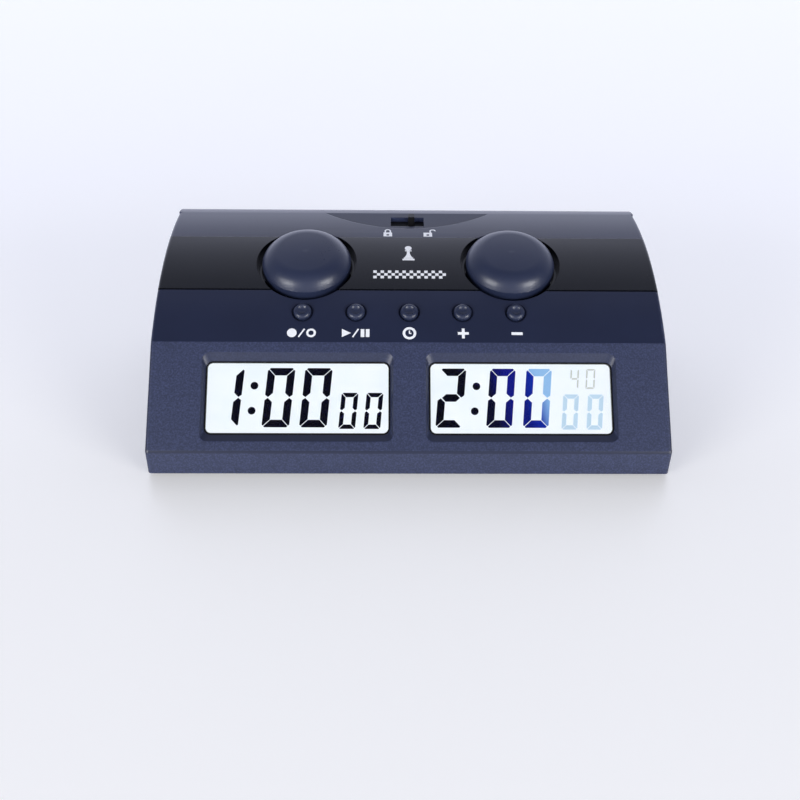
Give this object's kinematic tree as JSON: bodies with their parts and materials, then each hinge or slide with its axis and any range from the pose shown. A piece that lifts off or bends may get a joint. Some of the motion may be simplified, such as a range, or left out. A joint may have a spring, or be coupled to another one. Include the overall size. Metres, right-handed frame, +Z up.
{
  "type": "digital chess clock",
  "caption": "Arched two-player game timer with twin sloping displays, two large round press buttons, a row of small keys, a lock slide and a battery door underneath.",
  "frame": {"origin": "on the resting surface, under the middle of the case's bounding box", "axes": "+Z up, -Y towards the players' side with the displays, +X to the right seen from the display side; the case is mirrored about X = 0 apart from its inside and the lock slide"},
  "size_m": [0.17, 0.1096, 0.0591],
  "materials": {
    "housing_blue": "fine-textured moulded ABS, semi-matt navy with a faint metallic fleck",
    "deck_gloss": "polished black moulded plastic",
    "base_plastic": "fine-textured moulded ABS",
    "button_plastic": "smooth satin moulded plastic",
    "spring_steel": "drawn wire and strip, nickel plated",
    "switch_plastic": "moulded switch body",
    "circuit_board": "solder mask on glass-fibre board",
    "slider_black": "moulded acetal",
    "plated_steel": "nickel plated",
    "clear_lens": "polished clear acrylic",
    "gasket_rubber": "thin foam seal",
    "lcd_face": "lit liquid-crystal panel behind a polariser",
    "light_guide": "white diffusing light guide",
    "frame_white": "white moulded carrier",
    "strip_rubber": "layered conductive elastomer",
    "chip_black": "epoxy package",
    "capacitor_sleeve": "shrink sleeve",
    "cable_film": "polyester film",
    "cell_label": "printed shrink label on a steel can",
    "wire_sleeve": "PVC insulation",
    "foot_rubber": "soft matt rubber"
  },
  "bodies": {
    "root": {"upper_housing": "housing_blue", "top_deck": "deck_gloss", "bottom_cover": "base_plastic", "button_spring_left": "spring_steel", "button_spring_right": "spring_steel", "button_switch_left": "switch_plastic", "button_switch_right": "switch_plastic", "button_board_left": "circuit_board", "button_board_right": "circuit_board", "key_switches": "switch_plastic", "key_board": "circuit_board", "lock_switch": "plated_steel", "lock_board": "circuit_board", "display_lens_left": "clear_lens", "display_lens_right": "clear_lens", "lens_gasket_left": "gasket_rubber", "lens_gasket_right": "gasket_rubber", "lcd_glass_left": "lcd_face", "lcd_glass_right": "lcd_face", "backlight_left": "light_guide", "backlight_right": "light_guide", "display_frame_left": "frame_white", "display_frame_right": "frame_white", "contact_strip_left": "strip_rubber", "contact_strip_right": "strip_rubber", "display_board": "circuit_board", "processor": "chip_black", "crystal": "plated_steel", "capacitors": "capacitor_sleeve", "buzzer": "switch_plastic", "key_cable": "cable_film", "battery_front": "cell_label", "battery_rear": "cell_label", "cell_contact_minus": "spring_steel", "cell_contact_plus": "spring_steel", "cell_contact_bridge": "spring_steel", "battery_leads": "wire_sleeve", "board_leads": "wire_sleeve", "case_screws": "plated_steel", "board_screws": "plated_steel", "foot_front_left": "foot_rubber", "foot_front_right": "foot_rubber", "foot_rear_left": "foot_rubber", "foot_rear_right": "foot_rubber"},
    "player_button_left": {"player_button_left": "button_plastic", "button_clip_left": "spring_steel"},
    "player_button_right": {"player_button_right": "button_plastic", "button_clip_right": "spring_steel"},
    "key_reset": {"key_reset": "button_plastic"},
    "key_start_pause": {"key_start_pause": "button_plastic"},
    "key_clock": {"key_clock": "button_plastic"},
    "key_plus": {"key_plus": "button_plastic"},
    "key_minus": {"key_minus": "button_plastic"},
    "lock_slider": {"lock_slider": "slider_black"},
    "battery_door": {"battery_door": "base_plastic"}
  },
  "joints": [
    {"name": "press_left_button", "type": "slide", "parent": "root", "child": "player_button_left", "axis": [0, 0.309, -0.9511], "range_m": [0, 0.0022], "stiffness_N_per_m": 500, "springref_m": -0.002, "deforming": ["button_spring_left"]},
    {"name": "press_right_button", "type": "slide", "parent": "root", "child": "player_button_right", "axis": [0, 0.309, -0.9511], "range_m": [0, 0.0022], "stiffness_N_per_m": 500, "springref_m": -0.002, "deforming": ["button_spring_right"]},
    {"name": "press_reset_key", "type": "slide", "parent": "root", "child": "key_reset", "axis": [0, 0.5015, -0.8652], "range_m": [0, 0.0008], "stiffness_N_per_m": 1200, "springref_m": -0.0004},
    {"name": "press_start_pause_key", "type": "slide", "parent": "root", "child": "key_start_pause", "axis": [0, 0.5015, -0.8652], "range_m": [0, 0.0008], "stiffness_N_per_m": 1200, "springref_m": -0.0004},
    {"name": "press_clock_key", "type": "slide", "parent": "root", "child": "key_clock", "axis": [0, 0.5015, -0.8652], "range_m": [0, 0.0008], "stiffness_N_per_m": 1200, "springref_m": -0.0004},
    {"name": "press_plus_key", "type": "slide", "parent": "root", "child": "key_plus", "axis": [0, 0.5015, -0.8652], "range_m": [0, 0.0008], "stiffness_N_per_m": 1200, "springref_m": -0.0004},
    {"name": "press_minus_key", "type": "slide", "parent": "root", "child": "key_minus", "axis": [0, 0.5015, -0.8652], "range_m": [0, 0.0008], "stiffness_N_per_m": 1200, "springref_m": -0.0004},
    {"name": "lock_slide", "type": "slide", "parent": "root", "child": "lock_slider", "axis": [1, 0, 0], "range_m": [-0.003, 0]},
    {"name": "battery_door_swing", "type": "hinge", "parent": "root", "child": "battery_door", "pos_m": [0, 0.04057, 0.0022], "axis": [1, 0, 0], "range_deg": [0, 80]}
  ]
}
